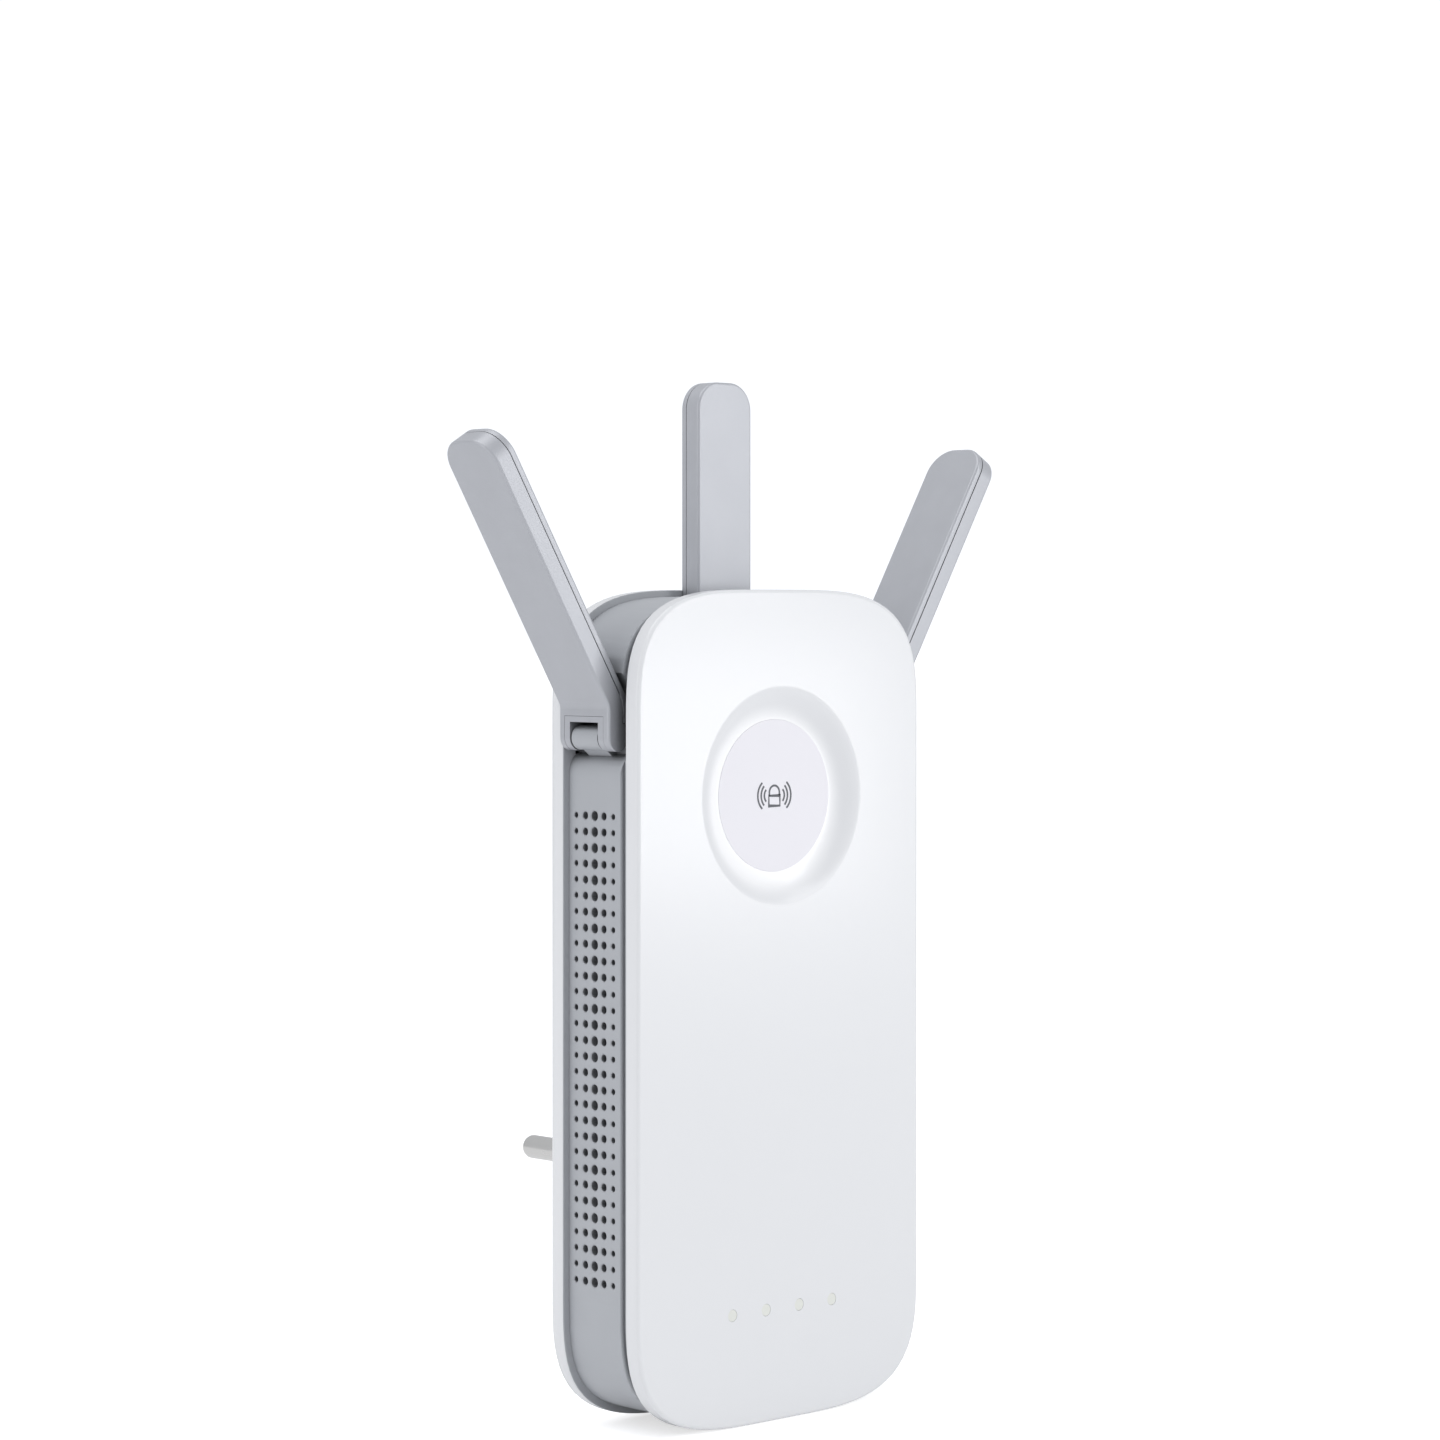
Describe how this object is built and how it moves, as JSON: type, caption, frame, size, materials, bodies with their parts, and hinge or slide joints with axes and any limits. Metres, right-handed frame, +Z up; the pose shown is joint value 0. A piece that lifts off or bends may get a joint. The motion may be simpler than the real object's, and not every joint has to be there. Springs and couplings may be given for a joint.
{
  "type": "wifi range extender",
  "caption": "Wall-plug wireless range extender with flat folding antennas, a round push button in a dished light ring, a vented side frame and a rear mains plug.",
  "frame": {"origin": "centre of the plug block's end face, midway between the two contact pins", "axes": "+X to the right seen from the front, +Y back towards the wall along the pins, +Z up"},
  "size_m": [0.1394, 0.0665, 0.2044],
  "materials": {
    "cover_white": "glossy moulded shell",
    "ring_diffuser": "milky light diffuser",
    "shroud_white": "matt white",
    "frame_grey": "satin silver-grey paint",
    "plug_white": "matt moulded",
    "nickel": "nickel plated",
    "brass_contact": "plated",
    "board_green": "solder mask",
    "chip_black": "matt epoxy",
    "aluminium_bare": "bare",
    "led_white": "encapsulant",
    "jack_grey": "moulded",
    "tape_yellow": "tape",
    "sleeve_blue": "sleeve",
    "winding_copper": "enamelled winding",
    "fuse_brown": "moulded",
    "sheet_clear": "film",
    "steel": "plated",
    "lead_grey": "jacket",
    "label_grey": "blank film",
    "button_white": "glossy moulded",
    "cap_grey": "moulded",
    "key_grey": "satin paint",
    "antenna_silver": "satin silver paint with a fine grain",
    "bracket_silver": "satin silver paint"
  },
  "bodies": {
    "housing": {"front_cover": "cover_white", "light_ring": "ring_diffuser", "light_shroud": "shroud_white", "status_light_pipes": "ring_diffuser", "mid_frame": "frame_grey", "rear_cover": "cover_white", "plug_block": "plug_white", "plug_pins": "nickel", "pin_contacts": "brass_contact", "main_board": "board_green", "board_chips": "chip_black", "heat_sink": "aluminium_bare", "rf_shields": "aluminium_bare", "ring_leds": "led_white", "status_leds": "led_white", "wps_switch": "chip_black", "side_switches": "chip_black", "ethernet_jack": "jack_grey", "jack_contacts": "brass_contact", "power_board": "board_green", "transformer": "tape_yellow", "capacitors": "sleeve_blue", "mains_filter": "winding_copper", "fuse": "fuse_brown", "board_link": "chip_black", "insulation_sheet": "sheet_clear", "case_screws": "steel", "board_screws": "steel", "power_board_screws": "steel", "coax_left": "lead_grey", "coax_right": "lead_grey", "coax_middle": "lead_grey", "rating_label": "label_grey"},
    "round_button": {"wps_button": "button_white", "wps_switch_cap": "cap_grey"},
    "light_key": {"led_button": "key_grey"},
    "power_key": {"power_button": "key_grey"},
    "reset_key": {"reset_plunger": "cap_grey"},
    "left_antenna": {"left_antenna_shell": "antenna_silver", "left_antenna_lid": "antenna_silver", "left_antenna_bracket": "bracket_silver", "left_radiator": "board_green", "left_hinge_pin": "steel", "left_hinge_washers": "steel"},
    "right_antenna": {"right_antenna_shell": "antenna_silver", "right_antenna_lid": "antenna_silver", "right_antenna_bracket": "bracket_silver", "right_radiator": "board_green", "right_hinge_pin": "steel", "right_hinge_washers": "steel"},
    "middle_antenna": {"middle_antenna_shell": "antenna_silver", "middle_antenna_lid": "antenna_silver", "middle_antenna_bracket": "bracket_silver", "middle_radiator": "board_green", "middle_hinge_pin": "steel", "middle_hinge_washers": "steel"}
  },
  "joints": [
    {"name": "left_antenna_hinge", "type": "hinge", "parent": "housing", "child": "left_antenna", "pos_m": [-0.03715, -0.0336, 0.0864], "axis": [0, -1, 0], "range_deg": [0, 149]},
    {"name": "right_antenna_hinge", "type": "hinge", "parent": "housing", "child": "right_antenna", "pos_m": [0.03715, -0.0336, 0.0864], "axis": [0, 1, 0], "range_deg": [0, 149]},
    {"name": "middle_antenna_hinge", "type": "hinge", "parent": "housing", "child": "middle_antenna", "pos_m": [0, -0.02485, 0.0916], "axis": [-1, 0, 0], "range_deg": [0, 180]},
    {"name": "round_button_press", "type": "slide", "parent": "housing", "child": "round_button", "axis": [0, 1, 0], "range_m": [0, 0.0005], "stiffness_N_per_m": 1500, "springref_m": -0.0003},
    {"name": "light_key_press", "type": "slide", "parent": "housing", "child": "light_key", "axis": [-1, 0, 0], "range_m": [0, 0.0008], "stiffness_N_per_m": 1000, "springref_m": -0.0003},
    {"name": "power_key_press", "type": "slide", "parent": "housing", "child": "power_key", "axis": [-1, 0, 0], "range_m": [0, 0.0008], "stiffness_N_per_m": 1000, "springref_m": -0.0003},
    {"name": "reset_press", "type": "slide", "parent": "housing", "child": "reset_key", "axis": [-1, 0, 0], "range_m": [0, 0.0005], "stiffness_N_per_m": 1000, "springref_m": -0.0003}
  ]
}
